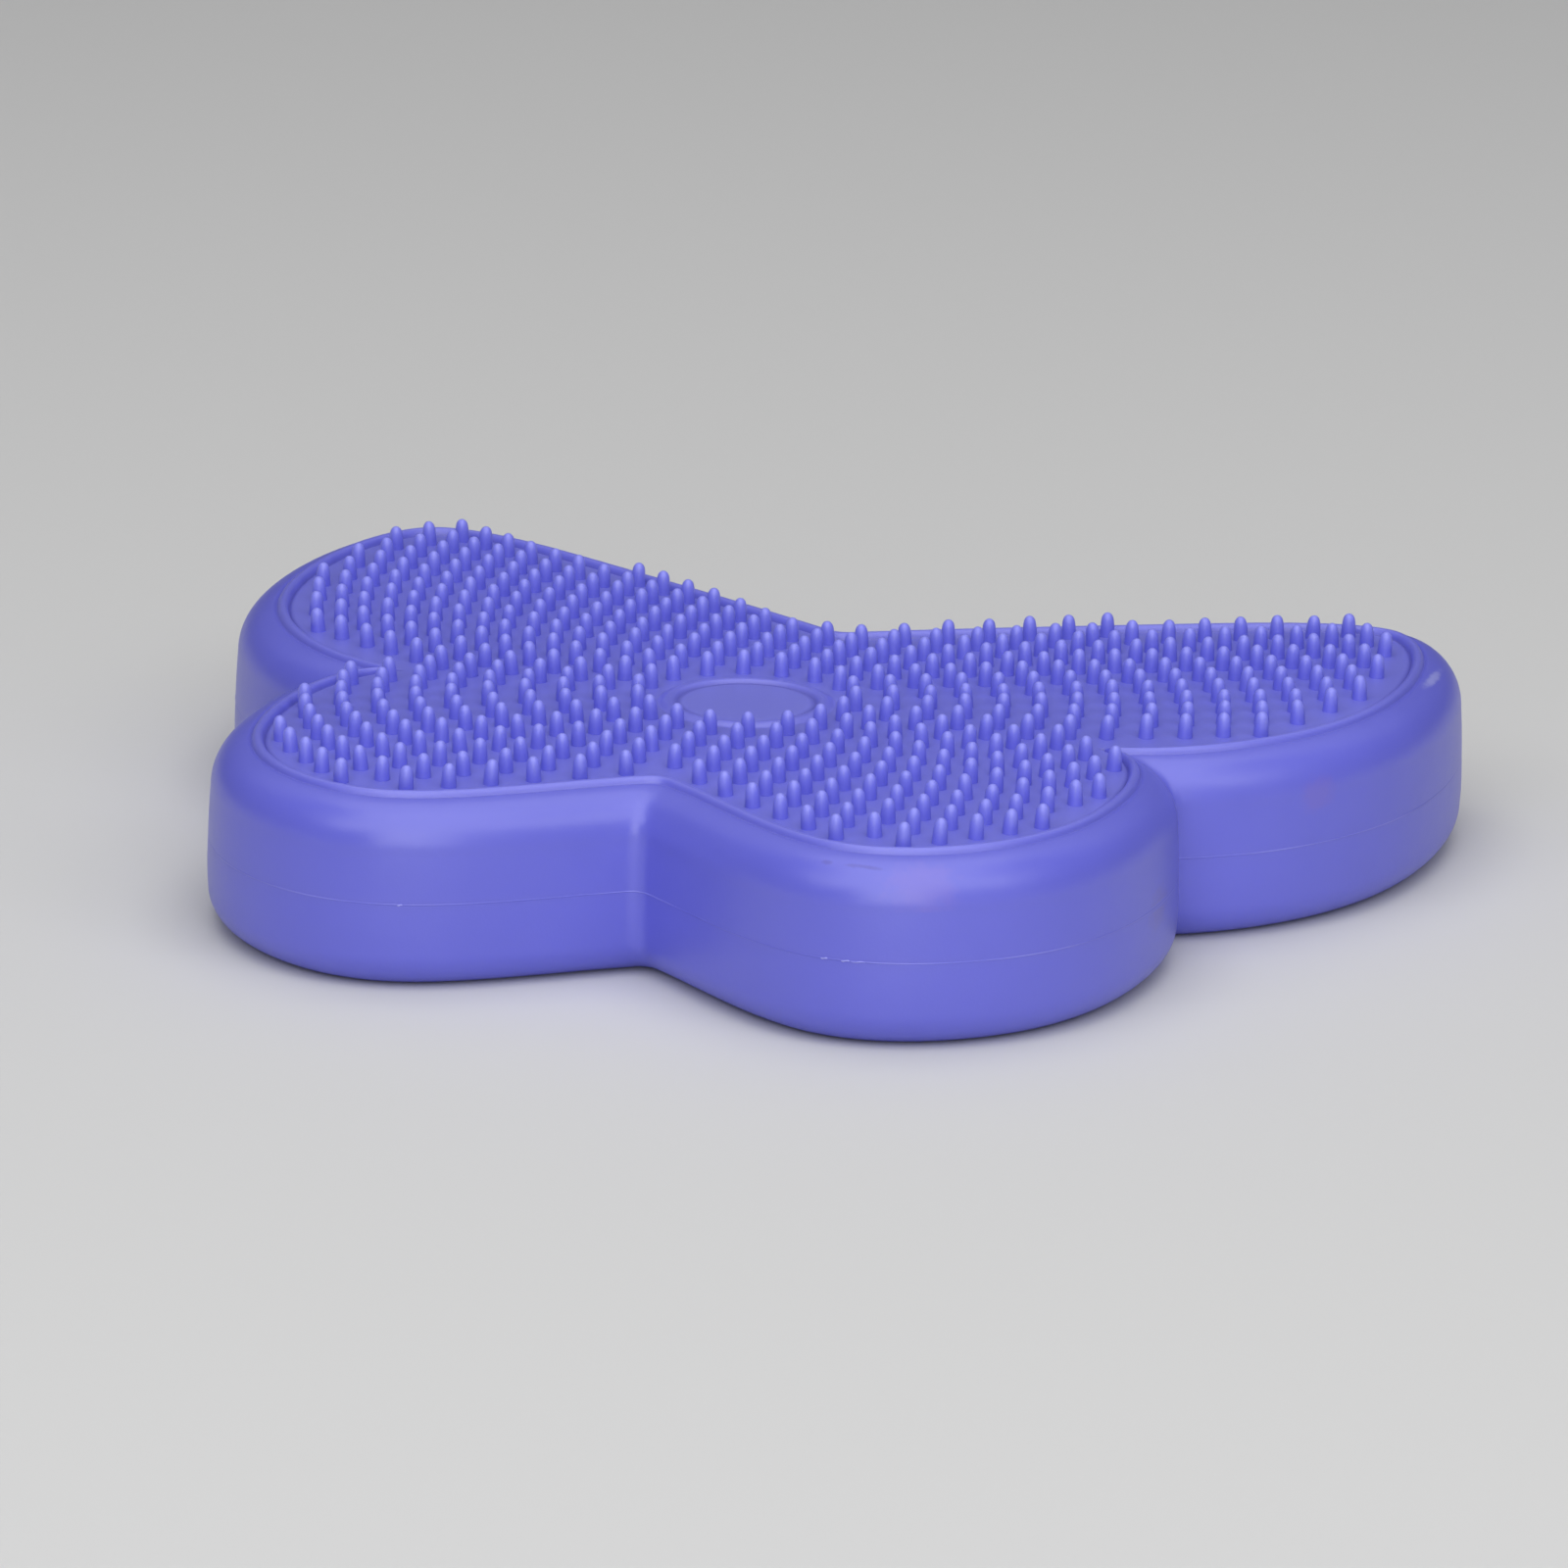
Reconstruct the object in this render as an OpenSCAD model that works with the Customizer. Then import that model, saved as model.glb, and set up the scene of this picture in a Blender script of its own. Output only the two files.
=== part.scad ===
// Wobble cushion: an air-filled four-lobed seat cushion with a nubbed top, on a flat base.
// Origin at the middle of the base, +X to the right wing, +Y to the large rear wings, +Z up.

/* [Body] */
// Width across the two rear wings
body_w = 301; // [256:1:346]
// Depth from the front lobes to the rear wings
body_d = 244; // [208:1:280]
// Height of the shell, floor to top face, without the nubs
body_h = 44; // [40:1:56]
// Thickness of the moulded wall
wall_t = 2.5; // [2:0.1:3]
// Radius of the rounded top edge
top_r = 11; // [9:0.5:12]
// Radius of the rounded bottom edge
bottom_r = 9; // [7:0.5:10]

/* [Seam] */
// Height of the middle of the parting seam
seam_z = 21; // [19:0.5:23]
// Height of the parting seam bead
seam_h = 1.6; // [1:0.1:3]
// How far the seam bead stands out of the wall
seam_out = 0.4; // [0.2:0.1:1]

/* [Top] */
// Width of the raised bead round the nub field
bead_w = 2.8; // [1.5:0.1:3]
// How far the bead stands above the top face
bead_h = 1.1; // [0.5:0.1:1.5]
// Thickness of the top panel
panel_t = 2.5; // [2:0.1:3.5]
// Depth of the nub field below the top face
panel_drop = 0.5; // [0:0.1:1]
// How far the top bulges in the middle when the cushion is blown up
crown_h = 2.8; // [0:0.2:5]
// Radius of the bulge
crown_r = 58; // [40:1:58]
// Place of the round pad in front of the middle
pad_y = 13.5; // [0:0.5:16]
// Outer radius of the raised ring round the pad
disc_r = 19.6; // [14:0.2:24]
// Width of the raised ring round the pad
disc_ring_w = 3; // [1:0.1:4]

/* [Nubs] */
// Distance from each ring of nubs to the next
nub_pitch = 8.65; // [8:0.05:14]
// Height of a nub
nub_h = 5.9; // [3:0.1:9]
// Radius at the foot of a nub
nub_r1 = 1.9; // [1.4:0.1:2.5]
// Radius at the tip of a nub
nub_r2 = 1; // [0.6:0.1:1.3]

/* [Valve] */
// Distance of the valve behind the middle of the base
valve_y = 28; // [20:1:34]
// Radius of the recess in the base that takes the plug's head
recess_r = 9; // [8:0.5:12]
// Outer radius of the thick valve seat
seat_r = 13; // [12.5:0.5:16]
// Radius of the bore through the valve seat
seat_bore_r = 3.5; // [3:0.1:5]
// Height of the valve seat above the base panel
seat_h = 6; // [5:0.5:8]
// Radius of the needle hole in the self-sealing core
needle_r = 0.6; // [0.4:0.1:1]

/* [Hidden] */
$fn = 64;
base_t = 3;          // thickness of the base panel
foot_in = bottom_r + 1.2;  // how far the flat of the base sits inside the wall
gap = 0.3;           // running gap between zones that move apart
steps = 40;          // points along each lobe's outline
reach = 42;          // how far from a notch its mitre fades out
sx = body_w / 298;
sy = body_d / 243;
plum = [0.43, 0.42, 0.83];

// Right half of the wall's outline: front lobe from the front notch to the side notch, then the rear wing
// from the side notch to the rear notch. The rounded lobes meet in sharp inward notches.
front_lobe = [[0, -88], [12, -96], [46, -130], [92, -113], [116, -73], [113, -28], [105, -18]];
rear_wing = [[105, -18], [122, -10], [158, 29], [142, 141], [66, 103], [21, 80], [0, 68]];

// Clamped cubic B-spline through seven control points, t from 0 to 1
knots = [0, 0, 0, 0, 0.25, 0.5, 0.75, 1, 1, 1, 1];
function ratio(a, b) = b == 0 ? 0 : a / b;
function basis(i, k, t) =
    k == 0 ? ((t >= knots[i] && t < knots[i + 1]) || (t >= 1 && knots[i + 1] == 1 && knots[i] < 1) ? 1 : 0)
    : ratio(t - knots[i], knots[i + k] - knots[i]) * basis(i, k - 1, t)
      + ratio(knots[i + k + 1] - t, knots[i + k + 1] - knots[i + 1]) * basis(i + 1, k - 1, t);
function sum2(v, i = 0) = i == len(v) ? [0, 0] : v[i] + sum2(v, i + 1);
function at(c, t) = let (p = sum2([for (i = [0:6]) basis(i, 3, t) * c[i]])) [p[0] * sx, p[1] * sy];
function unit(v) = v / norm(v);
function along(c, t) = unit(at(c, min(1, t + 0.002)) - at(c, max(0, t - 0.002)));
function out_of(d) = [d[1], -d[0]];
function corner(n1, n2) = (n1 + n2) / (1 + n1 * n2);

// How each end of a lobe's offset leans so that the offsets of two lobes meet in a mitre
fl0 = along(front_lobe, 0);
fl1 = along(front_lobe, 1);
rw0 = along(rear_wing, 0);
rw1 = along(rear_wing, 1);
m_front = corner(out_of(fl0), out_of([fl0[0], -fl0[1]]));
m_side = corner(out_of(fl1), out_of(rw0));
m_rear = corner(out_of(rw1), out_of([rw1[0], -rw1[1]]));
function fade(l) = max(0, 1 - l / reach);
function lean(c, t, m0, m1) =
    let (p = at(c, t), d = along(c, t))
    out_of(d) + d * (m0 * along(c, 0) * fade(norm(p - at(c, 0))) + m1 * along(c, 1) * fade(norm(p - at(c, 1))));
// Right half: [point, outward direction] pairs, front notch to rear notch
half_line = concat(
    [for (i = [0:steps - 1]) [at(front_lobe, i / steps), lean(front_lobe, i / steps, m_front, m_side)]],
    [for (i = [0:steps]) [at(rear_wing, i / steps), lean(rear_wing, i / steps, m_side, m_rear)]]);
function mirrored(p) = [-p[0], p[1]];
// Whole outline moved inwards by d
function inset_half(d) = [for (h = half_line) h[0] - d * h[1]];
function ring_of(d) = let (h = inset_half(d), n = len(h))
    concat(h, [for (i = [n - 2:-1:1]) mirrored(h[i])]);
n_ring = 2 * len(half_line) - 2;

// Closed band: profile points [inset, height], run anticlockwise seen from outside, swept round the outline
module band(profile) {
    m = len(profile);
    rings = [for (p = profile) ring_of(p[0])];
    pts = [for (j = [0:m - 1]) for (i = [0:n_ring - 1]) [rings[j][i][0], rings[j][i][1], profile[j][1]]];
    polyhedron(points = pts, faces = [
        for (j = [0:m - 1]) for (i = [0:n_ring - 1])
            let (a = j * n_ring + i, b = j * n_ring + (i + 1) % n_ring,
                 c = ((j + 1) % m) * n_ring + (i + 1) % n_ring, d = ((j + 1) % m) * n_ring + i)
            each [[a, c, b], [a, d, c]]]);
}

// Nub layout: rings round the pad, each with six nubs more than the ring inside it
function seg_gap(p, a, b) = let (d = b - a, t = max(0, min(1, (p - a) * d / (d * d)))) norm(p - a - t * d);
bead_line = ring_of(top_r - 1.5 + gap + bead_w);
function clear_of(p, line) = min([for (i = [0:n_ring - 1]) seg_gap(p, line[i], line[(i + 1) % n_ring])]);
function crossings(p) = len([for (i = [0:n_ring - 1])
    let (a = bead_line[i], b = bead_line[(i + 1) % n_ring])
    if ((a[1] > p[1]) != (b[1] > p[1]) && p[0] < a[0] + (b[0] - a[0]) * (p[1] - a[1]) / (b[1] - a[1])) 1]);
function inside(p) = crossings(p) % 2 == 1;
first_ring = ceil((disc_r + nub_r1 + 1.6) / nub_pitch);
last_ring = ceil((body_w + body_d) / 2.6 / nub_pitch);
half_nubs = [for (k = [first_ring:last_ring]) for (i = [0:3 * k])
    let (p = nub_pitch * k * [sin(60 * i / k), -cos(60 * i / k)] - [0, pad_y])
    if (inside(p) && clear_of(p, bead_line) > nub_r1 + 1.6) p];
all_nubs = concat(half_nubs, [for (p = half_nubs) if (p[0] > 0.01) mirrored(p)]);

top_z = body_h - panel_drop;
function bulge(r) = r < crown_r ? crown_h * pow(1 - r * r / (crown_r * crown_r), 2) : 0;
pad_up = bulge(disc_r);           // height of the pad's ring above the panel's flat part
bead_d = top_r - 1.5 + gap;       // inset of the bead's outer side

// Flat floor of the lower shell, with the recess for the plug
module base_panel() {
    color(plum) difference() {
        linear_extrude(height = base_t) polygon(ring_of(foot_in));
        translate([0, valve_y, -1]) cylinder(h = base_t + 2, r = recess_r);
    }
}

// Rounded bottom edge of the lower shell
module base_edge() {
    color(plum) band(concat(
        [for (a = [90:-15:0]) [foot_in - foot_in * cos(a), bottom_r - bottom_r * sin(a)]],
        [for (a = [0:15:90]) [foot_in - (foot_in - wall_t) * cos(a), bottom_r - (bottom_r - wall_t) * sin(a)]]));
}

// Upright wall of the lower shell, which folds as the cushion rolls sideways
module lower_wall() {
    z0 = bottom_r + gap;
    z1 = seam_z - seam_h / 2 - gap;
    color(plum) band([[0, z0], [0, z1], [wall_t, z1], [wall_t, z0]]);
}

// Welded parting seam between the two shells
module seam_bead() {
    color([0.55, 0.54, 0.88]) band([[0, seam_z - seam_h / 2], [-seam_out, seam_z - seam_h / 4],
        [-seam_out, seam_z + seam_h / 4], [0, seam_z + seam_h / 2],
        [wall_t, seam_z + seam_h / 2], [wall_t, seam_z - seam_h / 2]]);
}

// Upright wall of the upper shell, which folds as the cushion pitches fore and aft
module upper_wall() {
    z0 = seam_z + seam_h / 2 + gap;
    z1 = body_h - top_r - gap;
    color(plum) band([[0, z0], [0, z1], [wall_t, z1], [wall_t, z0]]);
}

// Rounded top edge of the upper shell, outside the bead
module shoulder() {
    ro = top_r;
    ri = top_r - wall_t;
    ao = acos((ro - top_r + 1.5) / ro);
    ai = acos(1.5 / ri);
    color(plum) band(concat(
        [for (k = [0:6]) let (a = ao * k / 6) [top_r - ro * cos(a), body_h - top_r + ro * sin(a)]],
        [for (k = [6:-1:0]) let (a = ai * k / 6) [top_r - ri * cos(a), body_h - top_r + ri * sin(a)]]));
}

// Raised bead that frames the nub field
module rim_bead() {
    d0 = bead_d;
    d1 = bead_d + bead_w;
    zb = top_z - panel_t;
    color([0.50, 0.49, 0.88]) band([[d0, zb], [d0, body_h - 0.1], [d0 + bead_w * 0.2, body_h + bead_h * 0.75],
        [d0 + bead_w * 0.5, body_h + bead_h], [d0 + bead_w * 0.8, body_h + bead_h * 0.75],
        [d1, top_z], [d1, zb]]);
}

// Flexible top panel inside the bead, open where the round pad sits
module top_panel() {
    color([0.40, 0.39, 0.78]) translate([0, 0, top_z - panel_t]) difference() {
        union() {
            linear_extrude(height = panel_t) polygon(ring_of(bead_d + bead_w));
            translate([0, -pad_y, 0]) rotate_extrude($fn = 96) polygon(concat(
                [[0, panel_t / 2], [crown_r - 3, panel_t / 2]],
                [for (r = [crown_r - 3:-4:disc_r - 4]) [r, panel_t + bulge(r)]], [[0, panel_t + bulge(disc_r - 4)]]));
        }
        translate([0, -pad_y, -1]) cylinder(h = panel_t + crown_h + 2, r = disc_r);
    }
}

// Plain round pad in the middle of the top, sunk inside its ring
module centre_disc() {
    ri = disc_r - disc_ring_w;
    color([0.45, 0.44, 0.84]) translate([0, -pad_y, top_z - panel_t]) rotate_extrude($fn = 96)
        polygon([[0, pad_up / 2], [ri, pad_up / 2], [ri, panel_t + pad_up], [0, panel_t + pad_up]]);
}

// Raised ring round the pad
module disc_ring() {
    ri = disc_r - disc_ring_w;
    w = disc_ring_w;
    color([0.50, 0.49, 0.88]) translate([0, -pad_y, top_z - panel_t]) rotate_extrude($fn = 96)
        polygon([[ri, pad_up / 2], [disc_r, pad_up / 2], [disc_r, panel_t + pad_up], [disc_r - w * 0.3, panel_t + pad_up + 0.6],
            [ri + w * 0.35, panel_t + pad_up + 0.7], [ri, panel_t + pad_up + 0.5]]);
}

// One soft massage nub
module nub() {
    cylinder(h = nub_h, r1 = nub_r1, r2 = nub_r2, $fn = 24);
}

// Field of nubs over the top panel
module nubs() {
    color([0.52, 0.51, 0.90]) for (p = all_nubs)
        translate([p[0], p[1], top_z + bulge(norm(p + [0, pad_y]) - nub_r1)]) nub();
}

// Thick moulded seat that the valve core is bonded in
module valve_seat() {
    color(plum) translate([0, valve_y, base_t]) difference() {
        cylinder(h = seat_h, r = seat_r);
        translate([0, 0, -1]) cylinder(h = seat_h + 2, r = seat_bore_r);
    }
}

// Self-sealing rubber core with its needle hole
module valve_core() {
    color([0.16, 0.16, 0.18]) translate([0, valve_y, base_t + seat_h - 2.5]) difference() {
        cylinder(h = 2.5, r = seat_bore_r);
        translate([0, 0, -1]) cylinder(h = 4.5, r = needle_r);
    }
}

// Push-in plug: a flat head in the recess, a stem in the seat's bore, and a slot to pry it out
module valve_plug() {
    color([0.36, 0.35, 0.74]) translate([0, valve_y, 0]) difference() {
        union() {
            translate([0, 0, 0.6]) cylinder(h = 1.9, r = recess_r - 0.5);
            translate([0, 0, 2.5]) cylinder(h = base_t + seat_h - 2.5 - 2.5 - 0.3, r = seat_bore_r - 0.06);
        }
        translate([recess_r - 2.4, -2.5, 0]) cube([3, 5, 1.5]);
    }
}

base_panel();
base_edge();
lower_wall();
seam_bead();
upper_wall();
shoulder();
rim_bead();
top_panel();
centre_disc();
disc_ring();
nubs();
valve_seat();
valve_core();
valve_plug();
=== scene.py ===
import math
import random

import bmesh
import bpy
import numpy as np
from mathutils import Matrix, Vector
from mathutils.geometry import delaunay_2d_cdt, tessellate_polygon


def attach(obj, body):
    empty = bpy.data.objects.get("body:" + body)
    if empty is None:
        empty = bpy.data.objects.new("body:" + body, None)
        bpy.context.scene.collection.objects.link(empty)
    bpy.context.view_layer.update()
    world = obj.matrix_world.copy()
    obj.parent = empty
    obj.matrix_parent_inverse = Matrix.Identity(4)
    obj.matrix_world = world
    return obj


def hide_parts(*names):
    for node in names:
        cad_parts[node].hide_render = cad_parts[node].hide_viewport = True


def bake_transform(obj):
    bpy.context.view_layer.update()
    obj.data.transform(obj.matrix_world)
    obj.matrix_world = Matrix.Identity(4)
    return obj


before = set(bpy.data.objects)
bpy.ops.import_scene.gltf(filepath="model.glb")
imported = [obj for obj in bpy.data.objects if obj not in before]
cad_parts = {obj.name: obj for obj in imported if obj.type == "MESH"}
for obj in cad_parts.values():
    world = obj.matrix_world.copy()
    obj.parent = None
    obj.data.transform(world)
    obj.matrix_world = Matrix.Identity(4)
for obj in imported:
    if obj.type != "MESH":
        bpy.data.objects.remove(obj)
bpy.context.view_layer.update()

MM = 0.001
rng = random.Random(7)

# ---------------------------------------------------------------- camera
PSI, ELEV, ROLL = math.radians(-17.16), math.radians(18.53), math.radians(1.49)
fwd = np.array([math.sin(PSI) * math.cos(ELEV), math.cos(PSI) * math.cos(ELEV), -math.sin(ELEV)])
right = np.array([math.cos(PSI), -math.sin(PSI), 0.0])
up = np.cross(right, fwd)
right, up = (math.cos(ROLL) * right + math.sin(ROLL) * up, -math.sin(ROLL) * right + math.cos(ROLL) * up)
DIST = 2.404
eye = np.array([0, -0.0282, 0.0438]) - DIST * (-0.02098 * right + 0.04036 * up + fwd)
aim = np.array([0.004, 0.004, 0.0215])
view = aim - eye
dist = float(np.linalg.norm(view))
view /= dist
side = np.cross(view, up)
side /= np.linalg.norm(side)
top = np.cross(side, view)
cam_data = bpy.data.cameras.new("camera")
cam_data.sensor_width = 36.0
cam_data.lens = 236.0
cam_data.clip_start = 0.05
cam_data.clip_end = 60.0
cam = bpy.data.objects.new("camera", cam_data)
bpy.context.scene.collection.objects.link(cam)
m = Matrix.Identity(4)
for i in range(3):
    m[i][0], m[i][1], m[i][2], m[i][3] = float(side[i]), float(top[i]), float(-view[i]), float(eye[i])
cam.matrix_world = m
bpy.context.scene.camera = cam

# ---------------------------------------------------------------- outline
FRONT = np.array([[0, -88], [12, -96], [46, -130], [92, -113], [116, -73], [113, -28], [105, -18]], float)
REAR = np.array([[105, -18], [122, -10], [158, 29], [142, 141], [66, 103], [21, 80], [0, 68]], float)
SCALE = np.array([301 / 298, 244 / 243])
KNOTS = [0, 0, 0, 0, 0.25, 0.5, 0.75, 1, 1, 1, 1]
REACH = 42.0
BODY_H, TOP_R, BOTTOM_R, FOOT_IN, SEAM_Z = 44.0, 11.0, 9.0, 10.2, 21.0
TOP_Z = BODY_H - 0.5
PAD_R, PAD_Y = 19.6, -13.5
CROWN = 2.3           # how far the blown-up top stands above its edge at the pad
VALVE_Y, RECESS_R = 28.0, 9.0
NUB_H, NUB_PITCH = 5.8, 8.65


def basis(i, k, t):
    if k == 0:
        return np.where((t >= KNOTS[i]) & (t < KNOTS[i + 1]) | ((t >= 1) & (KNOTS[i + 1] == 1) & (KNOTS[i] < 1)), 1.0, 0.0)
    a = KNOTS[i + k] - KNOTS[i]
    b = KNOTS[i + k + 1] - KNOTS[i + 1]
    r = 0
    if a:
        r = r + (t - KNOTS[i]) / a * basis(i, k - 1, t)
    if b:
        r = r + (KNOTS[i + k + 1] - t) / b * basis(i + 1, k - 1, t)
    return r


def at(c, t):
    t = np.atleast_1d(np.asarray(t, float))
    return sum(basis(i, 3, t)[:, None] * c[i] for i in range(7)) * SCALE


def unit(v):
    return v / np.linalg.norm(v, axis=-1, keepdims=True)


def along(c, t):
    t = np.atleast_1d(np.asarray(t, float))
    return unit(at(c, np.minimum(1, t + 0.002)) - at(c, np.maximum(0, t - 0.002)))


def out_of(d):
    return np.stack([d[..., 1], -d[..., 0]], -1)


def corner(n1, n2):
    return (n1 + n2) / (1 + float(n1 @ n2))


fl0, fl1, rw0, rw1 = along(FRONT, 0)[0], along(FRONT, 1)[0], along(REAR, 0)[0], along(REAR, 1)[0]
M_FRONT = corner(out_of(fl0), out_of(np.array([fl0[0], -fl0[1]])))
M_SIDE = corner(out_of(fl1), out_of(rw0))
M_REAR = corner(out_of(rw1), out_of(np.array([rw1[0], -rw1[1]])))


def lean(c, t, m0, m1):
    p, d = at(c, t), along(c, t)
    f0 = np.maximum(0, 1 - np.linalg.norm(p - at(c, 0), axis=1) / REACH)
    f1 = np.maximum(0, 1 - np.linalg.norm(p - at(c, 1), axis=1) / REACH)
    return out_of(d) + d * (float(m0 @ along(c, 0)[0]) * f0 + float(m1 @ along(c, 1)[0]) * f1)[:, None]


def half_line(n):
    """Points and outward leans of the right half, front notch to rear notch, closer together at the notches."""
    t = 0.5 - 0.5 * np.cos(np.pi * np.arange(n + 1) / n)
    t = 0.75 * t + 0.25 * np.arange(n + 1) / n
    return (np.vstack([at(FRONT, t[:-1]), at(REAR, t)]),
            np.vstack([lean(FRONT, t[:-1], M_FRONT, M_SIDE), lean(REAR, t, M_SIDE, M_REAR)]))


N_ARC = 110
HP, HL = half_line(N_ARC)
NH = len(HP)
NR = 2 * NH - 2
NOTCHES = [0, N_ARC, NH - 1, NR - N_ARC]


def soften(ring, reach):
    """Rounds the four notch corners of a closed ring over a length of reach on each side."""
    out = ring.copy()
    n = len(ring)
    for k in NOTCHES:
        c = ring[k % n]
        sides = []
        for s in (-1, 1):
            l, j, acc = [0.0], k, [k % n]
            while l[-1] < reach * 1.5:
                a, b = ring[j % n], ring[(j + s) % n]
                l.append(l[-1] + float(np.linalg.norm(b - a)))
                j += s
                acc.append(j % n)
            sides.append((acc, l))
        ends = []
        for acc, l in sides:
            i = next(q for q in range(len(l)) if l[q] >= reach)
            f = (reach - l[i - 1]) / (l[i] - l[i - 1])
            ends.append(ring[acc[i - 1]] * (1 - f) + ring[acc[i]] * f)
        a, b = ends
        for (acc, l), sgn in zip(sides, (-1, 1)):
            for idx, d in zip(acc, l):
                if d < reach:
                    u = 0.5 + 0.5 * sgn * d / reach
                    out[idx] = a * (1 - u) ** 2 + 2 * c * u * (1 - u) + b * u * u
    return out


def ring_of(d, reach=3.5):
    h = HP - d * HL
    r = np.vstack([h, (h * [-1, 1])[-2:0:-1]])
    return soften(r, reach) if reach else r


# ---------------------------------------------------------------- shell profile, [inset, height] from the base up
def arc(a0, a1, n, rx, rz, cz, x0=0.0):
    """Part of an ellipse that starts upright at inset x0 and turns in over rx."""
    return [(x0 + rx - rx * math.cos(math.radians(a)), cz + rz * math.sin(math.radians(a))) for a in np.linspace(a0, a1, n)]


foot = [(17.6, 0.55), (16.8, 0.55), (16.3, 0.45), (15.9, 0.15), (15.5, 0.0), (14.0, 0.0), (12.0, 0.0)]
lower = foot + arc(-90, 0, 15, FOOT_IN, BOTTOM_R, BOTTOM_R)
lower += [(-0.12, 11.0), (-0.20, 13.0), (-0.22, 15.5), (-0.16, 18.0), (-0.08, 20.3)]
seam = [(-0.08, 20.3), (-0.07, 20.70), (-0.04, 20.78), (-0.10, 20.88), (-0.18, 21.0), (-0.10, 21.12), (-0.04, 21.22),
        (-0.06, 21.30), (-0.05, 21.7)]
upper = [(-0.05, 21.7), (0.02, 24.0), (0.12, 26.5), (0.24, 29.0), (0.36, 31.0), (0.50, 33.0)]
shoulder = arc(0, 72, 17, TOP_R - 0.5, TOP_R, BODY_H - TOP_R, 0.5)
# groove, then the outer flank of the bead
shoulder += [(8.45, 43.66), (8.85, 43.75), (9.18, 43.72), (9.46, 43.58), (9.72, 43.48)]
bead = [(9.72, 43.48), (9.90, 43.56), (10.04, 43.82), (10.20, 44.22), (10.46, 44.64), (10.84, 44.93), (11.28, 45.04), (11.74, 44.98),
        (12.12, 44.74), (12.42, 44.36), (12.62, 43.92), (12.76, 43.50), (12.94, 43.26), (13.14, 43.22)]
field = [(13.14, 43.22), (13.6, TOP_Z), (14.6, TOP_Z)]
FULL = lower + seam[1:] + upper[1:] + shoulder[1:] + bead[1:] + field[1:]
FULL_RINGS = np.array([np.column_stack([ring_of(d), np.full(NR, z)]) for d, z in FULL])


def full_normals():
    around = np.roll(FULL_RINGS, -1, 1) - np.roll(FULL_RINGS, 1, 1)
    upward = np.empty_like(FULL_RINGS)
    upward[1:-1] = FULL_RINGS[2:] - FULL_RINGS[:-2]
    upward[0], upward[-1] = FULL_RINGS[1] - FULL_RINGS[0], FULL_RINGS[-1] - FULL_RINGS[-2]
    n = np.cross(around, upward)
    return n / np.maximum(np.linalg.norm(n, axis=2, keepdims=True), 1e-12)


FULL_N = full_normals()
FULL_N[0] = [0, 0, -1]
FULL_N[-1] = [0, 0, 1]


def within(p, line):
    """Which of the points p lie inside the closed line."""
    hit = np.zeros(len(p), bool)
    for a, b in zip(line, np.roll(line, -1, 0)):
        if a[1] != b[1]:
            hit ^= ((a[1] > p[:, 1]) != (b[1] > p[:, 1])) & (p[:, 0] < a[0] + (b[0] - a[0]) * (p[:, 1] - a[1]) / (b[1] - a[1]))
    return hit


# The top is a skin blown up between its edges: the shape of a stretched membrane under even pressure
CELL = 3.0
GX, GY = np.arange(-150, 150.1, CELL), np.arange(-126, 126.1, CELL)
spots_x, spots_y = np.meshgrid(GX, GY)
held_in = within(np.column_stack([spots_x.ravel(), spots_y.ravel()]), ring_of(12.9)[::2]).reshape(spots_x.shape)
rise = np.zeros(spots_x.shape)
for _ in range(5000):
    rise = np.where(held_in, (np.roll(rise, 1, 0) + np.roll(rise, -1, 0) + np.roll(rise, 1, 1) + np.roll(rise, -1, 1) + 1) / 4, 0)
rise = (rise + np.roll(rise, 1, 0) + np.roll(rise, -1, 0) + np.roll(rise, 1, 1) + np.roll(rise, -1, 1)) / 5 * held_in


def crown(p, scale=1.0):
    """Height of the blown-up top above its edge at the points p, and its slope along X and Y."""
    p = np.atleast_2d(np.asarray(p, float))

    def at_place(x, y):
        u, v = np.clip((x - GX[0]) / CELL, 0, len(GX) - 1.001), np.clip((y - GY[0]) / CELL, 0, len(GY) - 1.001)
        i, j = u.astype(int), v.astype(int)
        u, v = u - i, v - j
        return rise[j, i] * (1 - u) * (1 - v) + rise[j, i + 1] * u * (1 - v) + rise[j + 1, i] * (1 - u) * v + rise[j + 1, i + 1] * u * v

    x, y = p[:, 0], p[:, 1]
    return (scale * at_place(x, y), scale * (at_place(x + 3, y) - at_place(x - 3, y)) / 6,
            scale * (at_place(x, y + 3) - at_place(x, y - 3)) / 6)


RISE = CROWN / float(crown([[0, PAD_Y]])[0][0])


def make(name, verts, faces, normals=None, smooth=True):
    mesh = bpy.data.meshes.new(name)
    mesh.from_pydata([tuple(float(c) * MM for c in v) for v in verts], [], [tuple(int(i) for i in f) for f in faces])
    mesh.validate()
    mesh.update()
    if smooth:
        mesh.shade_smooth()
    if normals is not None:
        mesh.normals_split_custom_set_from_vertices([tuple(float(c) for c in n) for n in normals])
    o = bpy.data.objects.new(name, mesh)
    bpy.context.scene.collection.objects.link(o)
    return o


def paint_groove_shade(o, rows, n=None):
    """Stores, as the mesh's "tip" value, how much painted shade each ring of a band takes, 0 to 1, more the deeper the
    ring lies in the grooves.
    """
    o.data.attributes.new("tip", "FLOAT", "POINT").data.foreach_set("value", np.repeat(np.array(rows, np.float32), n or NR))


def quads(rows, n, base=0):
    return [(base + j * n + i, base + j * n + (i + 1) % n, base + (j + 1) * n + (i + 1) % n, base + (j + 1) * n + i)
            for j in range(rows - 1) for i in range(n)]


def circle(r, cy, n, cx=0.0):
    return [(cx + r * math.cos(2 * math.pi * i / n), cy + r * math.sin(2 * math.pi * i / n)) for i in range(n)]


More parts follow.
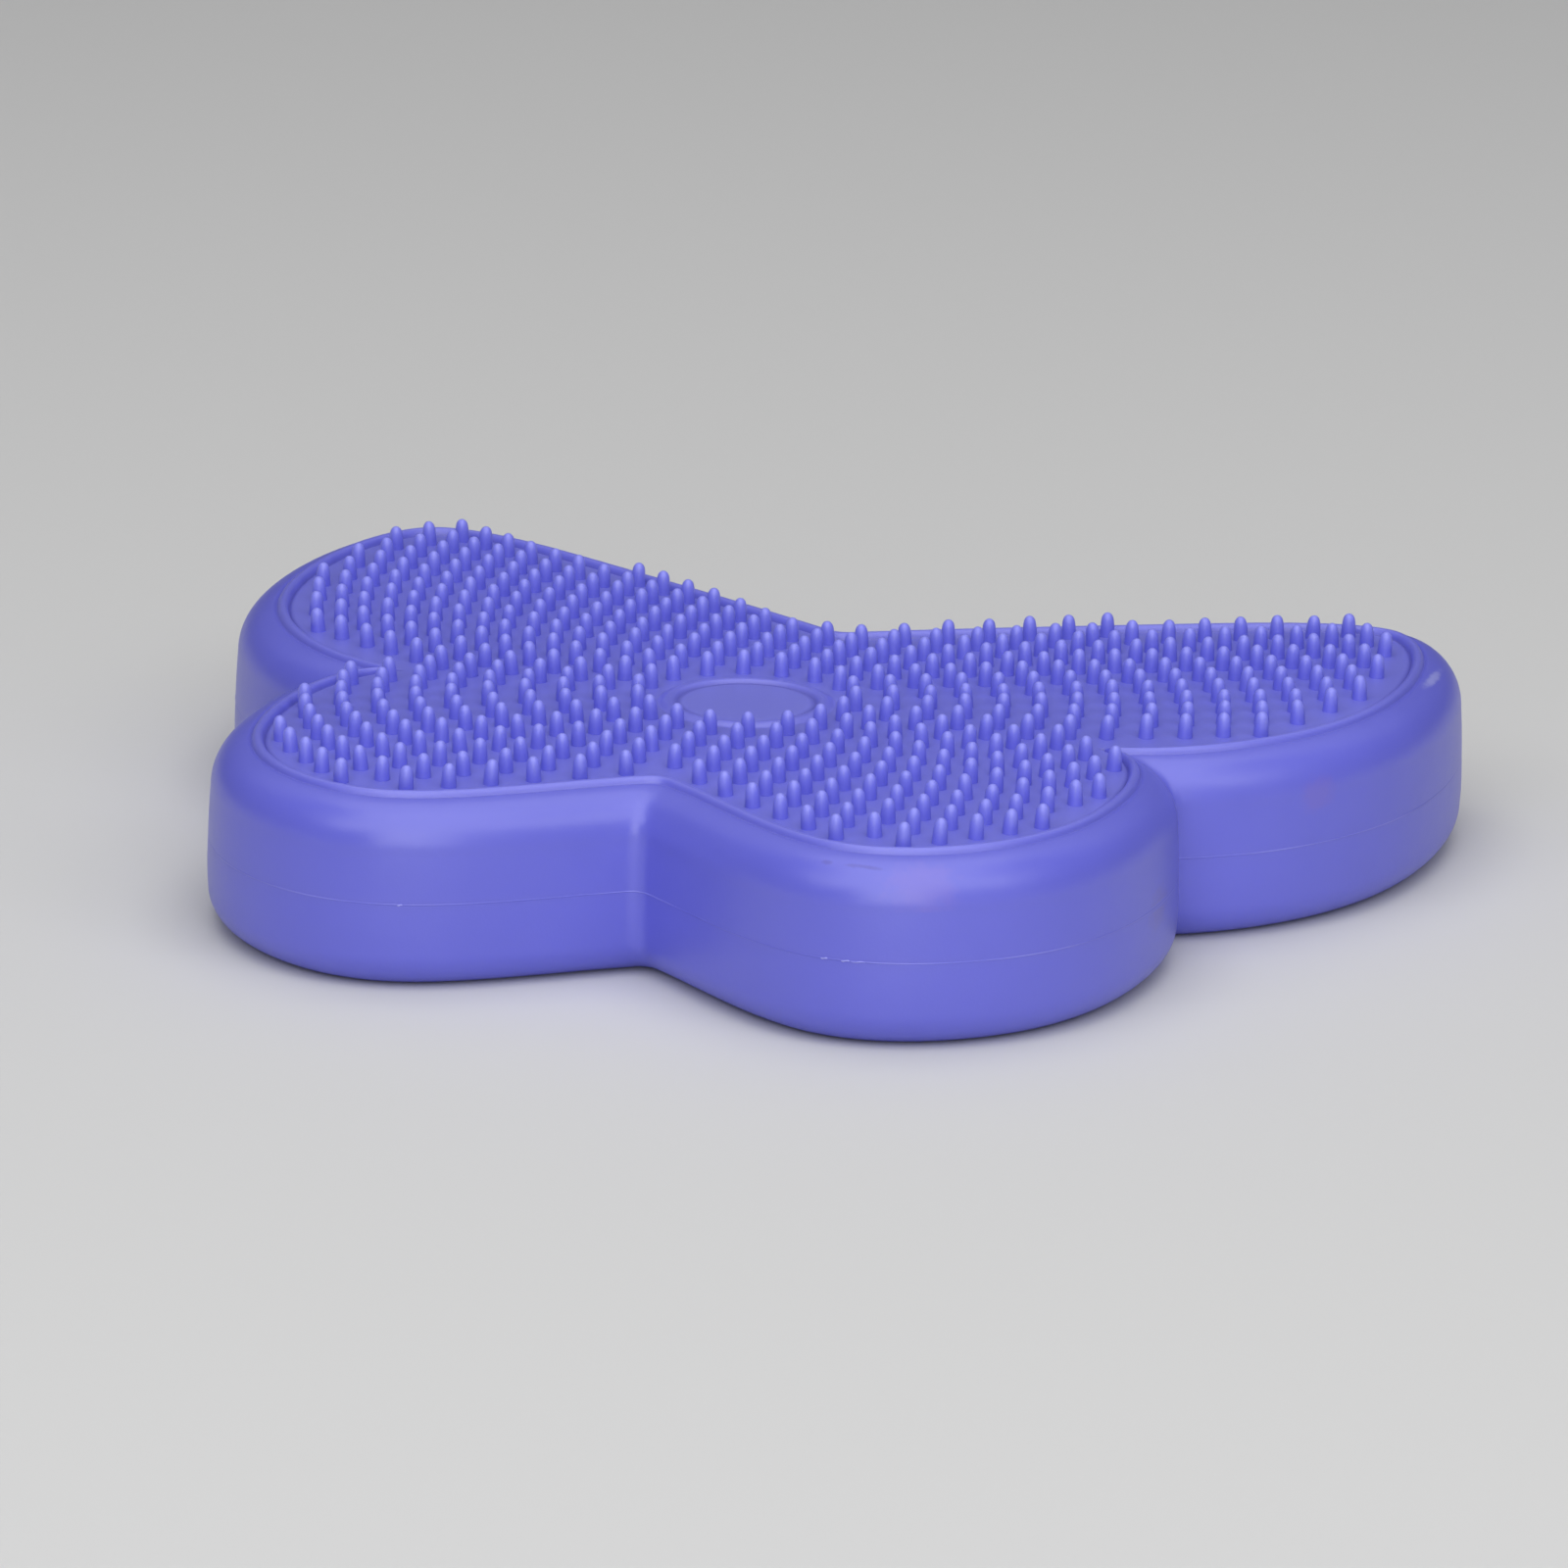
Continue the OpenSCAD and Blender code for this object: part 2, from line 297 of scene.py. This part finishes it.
def span(first, last):
    """The part of the shell between two places in the profile, as verts, faces and normals."""
    a, b = FULL.index(first), FULL.index(last)
    return FULL_RINGS[a:b + 1].reshape(-1, 3), quads(b - a + 1, NR), FULL_N[a:b + 1].reshape(-1, 3)


def cap(verts, faces, norms, loop, hole, z, nz):
    """Fills a flat face between the last ring (vertex numbers in loop) and a round hole; returns the hole's vertex numbers."""
    start = len(verts)
    verts = np.vstack([verts, [[x, y, z] for x, y in hole]])
    norms = np.vstack([norms, [[0, 0, nz]] * len(hole)])
    ids = list(loop) + list(range(start, start + len(hole)))
    tris = tessellate_polygon([[Vector(verts[i]) for i in loop], [Vector(verts[i]) for i in range(start, start + len(hole))]])
    for t in tris:
        a, b, c = (ids[i] for i in t)
        n = np.cross(verts[b] - verts[a], verts[c] - verts[a])
        faces.append((a, b, c) if n[2] * nz > 0 else (a, c, b))
    return verts, faces, norms, list(range(start, start + len(hole)))


def lathe(profile, n, cx=0.0, cy=0.0, closed_tip=False):
    """Surface of revolution about Z through cx, cy; profile is [radius, height], outside face to the right going up."""
    verts, faces = [], []
    for r, z in profile:
        verts += [(cx + r * math.cos(2 * math.pi * i / n), cy + r * math.sin(2 * math.pi * i / n), z) for i in range(n)]
    faces = quads(len(profile), n)
    return verts, faces


# ---------------------------------------------------------------- lower shell
v, f, nn = span(lower[0], lower[-1])
v, f, nn, hole = cap(v, f, nn, range(NR), circle(RECESS_R + 1.2, VALVE_Y, 72), 0.55, -1)
# rim of the valve recess, its wall and its floor
rim = [(RECESS_R + 0.6, 0.58, -0.95), (RECESS_R + 0.15, 0.8, -0.6), (RECESS_R, 1.15, -0.2), (RECESS_R, 2.0, 0), (RECESS_R, 3.0, 0)]
last = hole
for r, z, nz in rim:
    start = len(v)
    pts = circle(r, VALVE_Y, 72)
    v = np.vstack([v, [[x, y, z] for x, y in pts]])
    s = -math.sqrt(max(0, 1 - nz * nz))
    nn = np.vstack([nn, [[s * x / r, s * (y - VALVE_Y) / r, nz] for x, y in pts]])
    f += [(last[i], start + i, start + (i + 1) % 72, last[(i + 1) % 72]) for i in range(72)]
    last = list(range(start, start + 72))
start = len(v)
v = np.vstack([v, [[x, y, 3.0] for x, y in circle(RECESS_R, VALVE_Y, 72)], [[x, y, 3.0] for x, y in circle(3.5, VALVE_Y, 72)],
               [[x, y, 8.0] for x, y in circle(3.5, VALVE_Y, 72)]])
nn = np.vstack([nn, [[0, 0, -1]] * 216])
f += [(start + i, start + 72 + i, start + 72 + (i + 1) % 72, start + (i + 1) % 72) for i in range(72)]
f += [(start + 72 + i, start + 144 + i, start + 144 + (i + 1) % 72, start + 72 + (i + 1) % 72) for i in range(72)]
lower_shell = make("lower_shell", v, f, nn)

v, f, nn = span(seam[0], seam[-1])
# trimmed flash: the crest of the seam comes and goes along the wall
v = v.reshape(len(seam), NR, 3).copy()
wall_ring = ring_of(0)
flat_n = out_of(unit(np.roll(wall_ring, -1, 0) - np.roll(wall_ring, 1, 0)))
length = np.concatenate([[0], np.cumsum(np.linalg.norm(np.roll(wall_ring, -1, 0) - wall_ring, axis=1))])[:-1]
wander = np.clip(0.42 + 0.45 * np.sin(length * 0.048 + 2.2) + 0.32 * np.sin(length * 0.171 + 0.4), 0.0, 1.0)
for j, share in ((3, 0.05), (4, 0.13), (5, 0.05)):
    v[j, :, :2] -= flat_n * (share * (1 - wander))[:, None]
crest = np.zeros((len(seam), NR), np.float32)
crest[3], crest[4], crest[5] = 0.7 * wander, wander, 0.7 * wander
seam_bead = make("parting_seam", v.reshape(-1, 3), f, nn)
seam_bead.data.attributes.new("tip", "FLOAT", "POINT").data.foreach_set("value", crest.ravel())

# small slivers of untrimmed flash on the seam
fv, ff = [], []
for cx, cy, half, tall in ((55.4, -121.30, 0.9, 0.30), (60.4, -121.45, 1.1, 0.26), (63.4, -121.25, 1.7, 0.16), (-47.1, -119.72, 0.7, 0.26)):
    k = int(np.argmin(np.linalg.norm(wall_ring - [cx, cy], axis=1)))
    n2 = flat_n[k]
    t2 = np.array([-n2[1], n2[0]])
    c2 = wall_ring[k] + t2 * float((np.array([cx, cy]) - wall_ring[k]) @ t2)
    base = len(fv)
    for i in range(7):
        u = (i / 6 - 0.5) * 2
        w = math.sqrt(max(0.0, 1 - u * u)) * (0.8 + 0.2 * math.sin(5 * u + cx))
        q = c2 + t2 * u * half
        for out, dz in ((-0.1, -0.9), (0.25, -0.75), (0.42, 0.0), (0.25, 0.75), (-0.1, 0.9)):
            e = q + n2 * (out * (0.35 + 0.65 * w) if out > 0 else out)
            fv.append((e[0], e[1], 21.0 + 0.12 * math.sin(3 * u) + dz * tall * w))
    ff += [(base + 5 * i + j, base + 5 * i + j + 1, base + 5 * (i + 1) + j + 1, base + 5 * (i + 1) + j) for i in range(6) for j in range(4)]
flash = make("seam_flash", fv, ff)

v, f, nn = span(upper[0], upper[-1])
upper_wall = make("upper_wall_band", v, f, nn)

v, f, nn = span(shoulder[0], shoulder[-1])
shoulder_o = make("shoulder_band", v, f, nn)
# painted shade: the top rings of the shoulder band darken down into the channel outside the bead
paint_groove_shade(shoulder_o, [0.0] * (len(shoulder) - 4) + [0.25, 0.3, 0.4, 0.45])

v, f, nn = span(bead[0], bead[-1])
bead_o = make("rim_bead_band", v, f, nn)
# painted shade: both feet of the bead darken where they drop into the channels beside it
paint_groove_shade(bead_o, [0.45, 0.45, 0.4, 0.3, 0.2] + [0.0] * 4 + [0.2, 0.4, 0.6, 0.85, 1.0])

v, f, nn = span(field[0], field[-1])
k = len(v) // NR
last_ring = range((k - 1) * NR, k * NR)
v = v.copy()
for j in range(1, k):
    v[j * NR:(j + 1) * NR, 2] += crown(v[j * NR:(j + 1) * NR, :2], RISE)[0]
loop2 = v[(k - 1) * NR:, :2]
hole2 = np.array(circle(PAD_R + 0.8, PAD_Y, 96))
mid = []
for j in range(-30, 31):
    for i in range(-34, 35):
        q = (4.6 * (i + 0.5 * (j % 2)), 4.0 * j)
        if math.hypot(q[0], q[1] - PAD_Y) > PAD_R + 3.4:
            mid.append(q)
mid = np.array(mid)
mid = mid[within(mid, ring_of(17.5))]
flat = np.vstack([loop2, hole2, mid])
edges = [(i, (i + 1) % NR) for i in range(NR)] + [(NR + i, NR + (i + 1) % 96) for i in range(96)]
out_v, _, out_f, from_v, _, _ = delaunay_2d_cdt([Vector(q) for q in flat], edges, [], 0, 1e-5)
out_v = np.array([tuple(q) for q in out_v])
number, extra = [], []
for n_out, src in enumerate(from_v):
    old = [i for i in src if i < NR]
    if old:
        number.append((k - 1) * NR + old[0])
    else:
        number.append(len(v) + len(extra))
        extra.append(out_v[n_out])
extra = np.array(extra)
ht, sx_, sy_ = crown(extra, RISE)
v = np.vstack([v, np.column_stack([extra, TOP_Z + ht])])
nn = np.vstack([nn, unit(np.column_stack([-sx_, -sy_, np.ones(len(extra))]))])
ht, sx_, sy_ = crown(loop2, RISE)
nn[(k - 1) * NR:k * NR] = unit(np.column_stack([-sx_, -sy_, np.ones(NR)]))
centres = np.array([out_v[list(t)].mean(0) for t in out_f])
keep = within(centres, loop2) & (np.hypot(centres[:, 0], centres[:, 1] - PAD_Y) > (PAD_R + 0.8) * 0.999)
for t, good in zip(out_f, keep):
    if good:
        a, b, c = out_v[t[0]], out_v[t[1]], out_v[t[2]]
        turn = (b[0] - a[0]) * (c[1] - a[1]) - (b[1] - a[1]) * (c[0] - a[0])
        ids = [number[i] for i in t]
        f.append(tuple(ids) if turn > 0 else tuple(ids[::-1]))
top_skin = make("top_skin", v, f, nn)
# painted shade: the field's two outer rings, at the inner foot of the bead, take the dark groove colour
top_skin.data.attributes.new("tip", "FLOAT", "POINT").data.foreach_set(
    "value", np.concatenate([np.repeat(np.array([1.0, 0.5], np.float32), NR), np.zeros(len(v) - 2 * NR, np.float32)]))

# ---------------------------------------------------------------- centre pad and its ring
def on_crown(verts):
    v = np.array(verts, float)
    v[:, 2] += crown(v[:, :2], RISE)[0]
    return v


R2 = PAD_R
ring_profile = [(R2 + 1.5, 0), (R2 + 1.1, 0.05), (R2 + 0.7, 0.20), (R2 + 0.3, 0.48), (R2 - 0.2, 0.78), (R2 - 0.8, 0.98), (R2 - 1.5, 1.05),
                (R2 - 2.0, 0.98), (R2 - 2.4, 0.80), (R2 - 2.7, 0.56), (R2 - 3.0, 0.30), (R2 - 3.35, 0.12)]
v, f = lathe([(r, TOP_Z + z) for r, z in ring_profile], 128, 0, PAD_Y)
pad_ring = make("pad_ring", on_crown(v), f)
# painted shade: the ring's outer foot and its inner flank darken down into the channel round the pad
paint_groove_shade(pad_ring, [0.5, 0.25] + [0.0] * 6 + [0.2, 0.4, 0.6, 0.8], 128)
pad_profile = [(R2 - 3.35, 0.12), (R2 - 3.7, 0.06), (R2 - 4.2, 0.10), (R2 - 4.8, 0.20), (R2 - 5.6, 0.26), (R2 - 8, 0.28), (6, 0.28), (3, 0.28),
               (1, 0.28)]
v, f = lathe([(r, TOP_Z + z) for r, z in pad_profile], 128, 0, PAD_Y)
v.append((0, PAD_Y, TOP_Z + 0.28))
c = len(v) - 1
b = (len(pad_profile) - 1) * 128
f += [(b + i, b + (i + 1) % 128, c) for i in range(128)]
pad = make("centre_pad", on_crown(v), f)
# painted shade: the pad's outer rows, in the channel inside its ring, take the dark groove colour
pad.data.attributes.new("tip", "FLOAT", "POINT").data.foreach_set(
    "value", np.concatenate([np.repeat(np.array([0.8, 0.75, 0.5, 0.2] + [0.0] * 5, np.float32), 128), np.zeros(1, np.float32)]))

# ---------------------------------------------------------------- nubs
def coarse_half():
    t = np.arange(41) / 40
    p = np.vstack([at(FRONT, t[:-1]), at(REAR, t)])
    l = np.vstack([lean(FRONT, t[:-1], M_FRONT, M_SIDE), lean(REAR, t, M_SIDE, M_REAR)])
    return p - 12.6 * l


BEAD_HALF = coarse_half()
BEAD_LINE = np.vstack([BEAD_HALF, (BEAD_HALF * [-1, 1])[-2:0:-1]])


def clear_of(p, line):
    a, b = line, np.roll(line, -1, 0)
    d = b - a
    t = np.clip(((p - a) * d).sum(1) / (d * d).sum(1), 0, 1)
    return float(np.linalg.norm(p - a - t[:, None] * d, axis=1).min())


# rings round the pad, each with six nubs more than the ring inside it
spots = []
for k in range(3, 26):
    turn = np.radians(60 * np.arange(3 * k + 1) / k)
    for p in NUB_PITCH * k * np.column_stack([np.sin(turn), -np.cos(turn)]) + [0, PAD_Y]:
        if within(p[None], BEAD_LINE)[0] and clear_of(p, BEAD_LINE) > 3.5:
            spots.append(p)
spots = spots + [p * [-1, 1] for p in spots if p[0] > 0.01]
NUB_PROFILE = [(1.84, -0.12), (1.82, 0.12), (1.80, 0.5), (1.77, 1.1), (1.72, 2.1), (1.65, 3.1), (1.55, 4.0), (1.37, 4.72),
               (1.08, 5.26), (0.70, 5.62), (0.32, 5.78)]
SEG = 18
verts, faces, tip = [], [], []
for p in spots:
    base = len(verts)
    up_by, slope_x, slope_y = (float(c[0]) for c in crown(p, RISE))
    ax, ay = rng.gauss(0, 0.026) - slope_x, rng.gauss(0, 0.026) - slope_y
    k = 1 + rng.uniform(-0.025, 0.025)
    dx, dy = rng.uniform(-0.25, 0.25), rng.uniform(-0.25, 0.25)
    for r, z in NUB_PROFILE:
        for i in range(SEG):
            a = 2 * math.pi * (i + 0.5) / SEG
            ox, oy = r * math.cos(a), r * math.sin(a)
            verts.append((p[0] + dx + ox + ax * z, p[1] + dy + oy + ay * z, TOP_Z + up_by + z * k + slope_x * ox + slope_y * oy))
            tip.append(max(0.0, z / NUB_H))
    verts.append((p[0] + dx + ax * NUB_H, p[1] + dy + ay * NUB_H, TOP_Z + up_by + NUB_H * k))
    tip.append(1.0)
    faces += quads(len(NUB_PROFILE), SEG, base)
    b = base + (len(NUB_PROFILE) - 1) * SEG
    faces += [(b + i, b + (i + 1) % SEG, base + len(NUB_PROFILE) * SEG) for i in range(SEG)]
nub_field = make("nub_field", verts, faces)
# painted highlight: each nub's colour grows lighter from its foot to its tip by this tip value
nub_highlight = nub_field.data.attributes.new("tip", "FLOAT", "POINT")
nub_highlight.data.foreach_set("value", np.array(tip, np.float32))

# ---------------------------------------------------------------- valve
plug_profile = [(0.01, 0.75), (3.0, 0.72), (6.2, 0.72), (7.6, 0.76), (8.2, 0.95), (8.45, 1.3), (8.45, 2.1), (8.2, 2.45), (3.6, 2.5), (3.44, 2.7), (3.44, 6.1), (3.1, 6.2), (0.01, 6.2)]
v, f = lathe(plug_profile, 96, 0, VALVE_Y)
plug = make("plug_body", v, f)

# ---------------------------------------------------------------- materials
def rgb(r, g, b):
    def lin(c):
        c /= 255
        return c / 12.92 if c <= 0.04045 else ((c + 0.055) / 1.055) ** 2.4
    return (lin(r), lin(g), lin(b), 1)


def vinyl(name, dark, light, rough=0.34, grain=0.10, tips=None, marks=()):
    """Satin moulded vinyl. tips is the colour where the mesh's "tip" value is 1, used for painted shade in grooves, a
    painted highlight on the nubs' tips and the pale seam crest; marks are worn or smudged spots and dark lines of
    painted shade, each (one end, other end, half width, colour, strength), in millimetres."""
    mat = bpy.data.materials.new(name)
    mat.use_nodes = True
    nt = mat.node_tree
    nt.nodes.clear()
    N = nt.nodes.new
    L = nt.links.new
    out = N("ShaderNodeOutputMaterial")
    bsdf = N("ShaderNodeBsdfPrincipled")
    L(bsdf.outputs[0], out.inputs[0])
    co = N("ShaderNodeTexCoord")
    big = N("ShaderNodeTexNoise")
    big.inputs["Scale"].default_value = 14
    big.inputs["Detail"].default_value = 3
    big.inputs["Roughness"].default_value = 0.55
    L(co.outputs["Object"], big.inputs["Vector"])
    mottle = N("ShaderNodeMix")
    mottle.data_type = "RGBA"
    L(big.outputs["Fac"], mottle.inputs["Factor"])
    mottle.inputs["A"].default_value = dark
    mottle.inputs["B"].default_value = light
    colour = mottle.outputs["Result"]
    # mixes in the tips colour by the "tip" value: painted shade in grooves, painted highlight on the nubs' tips, and
    # the pale seam crest
    if tips:
        attr = N("ShaderNodeAttribute")
        attr.attribute_name = "tip"
        tr = N("ShaderNodeValToRGB")
        tr.color_ramp.elements[0].position = 0.25
        tr.color_ramp.elements[0].color = (0, 0, 0, 1)
        tr.color_ramp.elements[1].position = 1.0
        tr.color_ramp.elements[1].color = (1, 1, 1, 1)
        L(attr.outputs["Fac"], tr.inputs["Fac"])
        mix = N("ShaderNodeMix")
        mix.data_type = "RGBA"
        L(tr.outputs["Color"], mix.inputs["Factor"])
        L(colour, mix.inputs["A"])
        mix.inputs["B"].default_value = tips
        colour = mix.outputs["Result"]
    for a, b, half, tint, strength in marks:
        a, b = Vector(a) * MM, Vector(b) * MM
        place = N("ShaderNodeMapping")
        place.vector_type = "TEXTURE"
        place.inputs["Location"].default_value = (a + b) / 2
        place.inputs["Rotation"].default_value = (b - a).to_track_quat("X", "Z").to_euler()
        place.inputs["Scale"].default_value = ((b - a).length / 2 + half * MM, half * MM, half * MM * 1.6)
        L(co.outputs["Object"], place.inputs["Vector"])
        ragged = N("ShaderNodeTexNoise")
        ragged.inputs["Scale"].default_value = 420
        ragged.inputs["Detail"].default_value = 3
        L(co.outputs["Object"], ragged.inputs["Vector"])
        far = N("ShaderNodeVectorMath")
        far.operation = "LENGTH"
        L(place.outputs["Vector"], far.inputs[0])
        add = N("ShaderNodeMath")
        add.operation = "MULTIPLY_ADD"
        L(ragged.outputs["Fac"], add.inputs[0])
        add.inputs[1].default_value = 0.9
        L(far.outputs["Value"], add.inputs[2])
        fall = N("ShaderNodeMapRange")
        fall.interpolation_type = "SMOOTHSTEP"
        fall.inputs["From Min"].default_value = 0.75
        fall.inputs["From Max"].default_value = 1.45
        fall.inputs["To Min"].default_value = strength
        fall.inputs["To Max"].default_value = 0.0
        L(add.outputs["Value"], fall.inputs["Value"])
        mix = N("ShaderNodeMix")
        mix.data_type = "RGBA"
        L(fall.outputs["Result"], mix.inputs["Factor"])
        L(colour, mix.inputs["A"])
        mix.inputs["B"].default_value = tint
        colour = mix.outputs["Result"]
    L(colour, bsdf.inputs["Base Color"])
    fine = N("ShaderNodeTexNoise")
    fine.inputs["Scale"].default_value = 1600
    fine.inputs["Detail"].default_value = 2
    L(co.outputs["Object"], fine.inputs["Vector"])
    peel = N("ShaderNodeTexNoise")
    peel.inputs["Scale"].default_value = 160
    peel.inputs["Detail"].default_value = 2
    L(co.outputs["Object"], peel.inputs["Vector"])
    b1 = N("ShaderNodeBump")
    b1.inputs["Strength"].default_value = grain
    b1.inputs["Distance"].default_value = 0.0002
    L(fine.outputs["Fac"], b1.inputs["Height"])
    b2 = N("ShaderNodeBump")
    b2.inputs["Strength"].default_value = 0.12
    b2.inputs["Distance"].default_value = 0.0006
    L(peel.outputs["Fac"], b2.inputs["Height"])
    L(b1.outputs["Normal"], b2.inputs["Normal"])
    L(b2.outputs["Normal"], bsdf.inputs["Normal"])
    rr = N("ShaderNodeMapRange")
    rr.inputs["To Min"].default_value = rough - 0.03
    rr.inputs["To Max"].default_value = rough + 0.05
    L(big.outputs["Fac"], rr.inputs["Value"])
    L(rr.outputs["Result"], bsdf.inputs["Roughness"])
    bsdf.inputs["IOR"].default_value = 1.5
    bsdf.inputs["Specular IOR Level"].default_value = 0.85
    bsdf.inputs["Subsurface Weight"].default_value = 0.12
    bsdf.inputs["Subsurface Radius"].default_value = (0.6, 0.6, 1.2)
    bsdf.inputs["Subsurface Scale"].default_value = 0.002
    return mat


scuffs_and_shade_lines = [((143.2, 68, 43.2), (142.0, 88, 42.5), 1.5, rgb(172, 176, 236), 0.55),       # pale rub on the right rear wing
          ((52.4, -116.0, 41.8), (55.4, -116.3, 41.95), 0.8, rgb(88, 86, 190), 0.8),       # two short pressed lines, painted as dark colour with no dent: painted shade
          ((57.6, -116.6, 41.8), (68.6, -115.8, 41.4), 0.7, rgb(88, 86, 190), 0.8),
          ((72.0, -116.6, 38.8), (80.0, -113.6, 38.2), 6.5, rgb(134, 114, 208), 0.30)]     # faint pink smudge
stains = [((132.0, 5.0, 31.5), (136.0, 11.0, 34.0), 3.5, rgb(124, 106, 200), 0.35),
          ((113.9, -58.0, 19.0), (113.9, -50.0, 21.5), 4.0, rgb(114, 106, 184), 0.4)]
wall_dark, wall_light = rgb(93, 96, 207), rgb(108, 110, 223)
# painted shade: dark colour mixed into the grooves by the bead, the pad ring and the pad
groove_shade = rgb(80, 80, 184)
wall_mat = vinyl("vinyl_wall", wall_dark, wall_light, marks=stains)
shoulder_mat = vinyl("vinyl_shoulder", wall_dark, wall_light, tips=groove_shade, marks=scuffs_and_shade_lines + stains[:1])
top_mat = vinyl("vinyl_top", rgb(104, 106, 208), rgb(119, 121, 221), rough=0.42, tips=groove_shade)
pad_mat = vinyl("vinyl_pad", rgb(110, 113, 215), rgb(125, 127, 228), rough=0.42, tips=groove_shade)
bead_mat = vinyl("vinyl_bead", rgb(106, 108, 216), rgb(120, 122, 228), tips=groove_shade)
# painted highlight: the nubs take a lighter colour towards their tips
nub_mat = vinyl("vinyl_nub", rgb(104, 106, 219), rgb(119, 121, 232), rough=0.40, tips=rgb(136, 139, 242))
seam_mat = vinyl("vinyl_seam", wall_dark, wall_light, tips=rgb(134, 135, 228))
flash_mat = vinyl("vinyl_flash", rgb(146, 148, 232), rgb(162, 164, 240))
plug_mat = vinyl("vinyl_plug", rgb(88, 86, 184), rgb(94, 92, 190), rough=0.45)

for o, mat in ((lower_shell, wall_mat), (seam_bead, seam_mat), (upper_wall, wall_mat), (shoulder_o, shoulder_mat), (bead_o, bead_mat),
               (top_skin, top_mat), (pad_ring, bead_mat), (pad, pad_mat), (nub_field, nub_mat), (plug, plug_mat),
               (flash, flash_mat)):
    o.data.materials.append(mat)

# ---------------------------------------------------------------- what each piece rides on
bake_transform(lower_shell)
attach(seam_bead, "waist")
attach(flash, "waist")
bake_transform(upper_wall)
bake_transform(shoulder_o)
for o in (bead_o, top_skin, pad_ring, pad, nub_field):
    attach(o, "top")
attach(plug, "plug")
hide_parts("base_panel", "base_edge", "lower_wall", "valve_seat")
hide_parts("seam_bead")
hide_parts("upper_wall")
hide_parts("shoulder")
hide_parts("rim_bead")
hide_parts("top_panel")
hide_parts("disc_ring")
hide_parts("centre_disc")
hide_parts("nubs")
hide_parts("valve_plug")
core_mat = vinyl("core_rubber", rgb(26, 26, 28), rgb(32, 32, 34), rough=0.7)
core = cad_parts["valve_core"]
core.data.materials.clear()
core.data.materials.append(core_mat)

# ---------------------------------------------------------------- floor and light
floor = bpy.data.meshes.new("floor")
floor.from_pydata([(-8, -8, 0), (8, -8, 0), (8, 8, 0), (-8, 8, 0)], [], [(0, 1, 2, 3)])
floor_o = bpy.data.objects.new("floor", floor)
bpy.context.scene.collection.objects.link(floor_o)
fmat = bpy.data.materials.new("floor")
fmat.use_nodes = True
fb = fmat.node_tree.nodes["Principled BSDF"]
fb.inputs["Base Color"].default_value = (0.67, 0.67, 0.67, 1)
fb.inputs["Roughness"].default_value = 0.9
floor.materials.append(fmat)

world = bpy.data.worlds.new("world")
bpy.context.scene.world = world
world.use_nodes = True
world.node_tree.nodes["Background"].inputs[0].default_value = (1, 1, 1, 1)
world.node_tree.nodes["Background"].inputs[1].default_value = 0.09


def area(name, loc, target, size, power, colour=(1, 1, 1)):
    d = bpy.data.lights.new(name, "AREA")
    d.shape = "RECTANGLE"
    d.size, d.size_y = size
    d.energy = power
    d.color = colour
    o = bpy.data.objects.new(name, d)
    bpy.context.scene.collection.objects.link(o)
    o.location = loc
    o.rotation_euler = (Vector(target) - Vector(loc)).to_track_quat("-Z", "Y").to_euler()
    return o


def softbox(name, az, el, reach, size, power):
    """Light at an azimuth from -Y towards +X and an elevation, in degrees; size is (across, up)."""
    az, el = math.radians(az), math.radians(el)
    place = (math.sin(az) * math.cos(el) * reach, -math.cos(az) * math.cos(el) * reach, math.sin(el) * reach)
    return area(name, place, (0, 0, 0.02), size, power)


softbox("key", 20, 46, 2.0, (4.5, 0.8), 19)
softbox("key_high", 20, 64, 2.0, (4.5, 0.8), 9)
softbox("over", 20, 88, 2.4, (2.4, 2.2), 24)
softbox("over_back", 197, 55, 2.0, (4.0, 1.2), 5)
softbox("front", 17, 16, 3.0, (2.2, 2.2), 32)
softbox("front_right", 65, 16, 3.0, (2.2, 2.2), 4)
bpy.context.scene.view_settings.view_transform = "Standard"
bpy.context.scene.view_settings.look = "None"
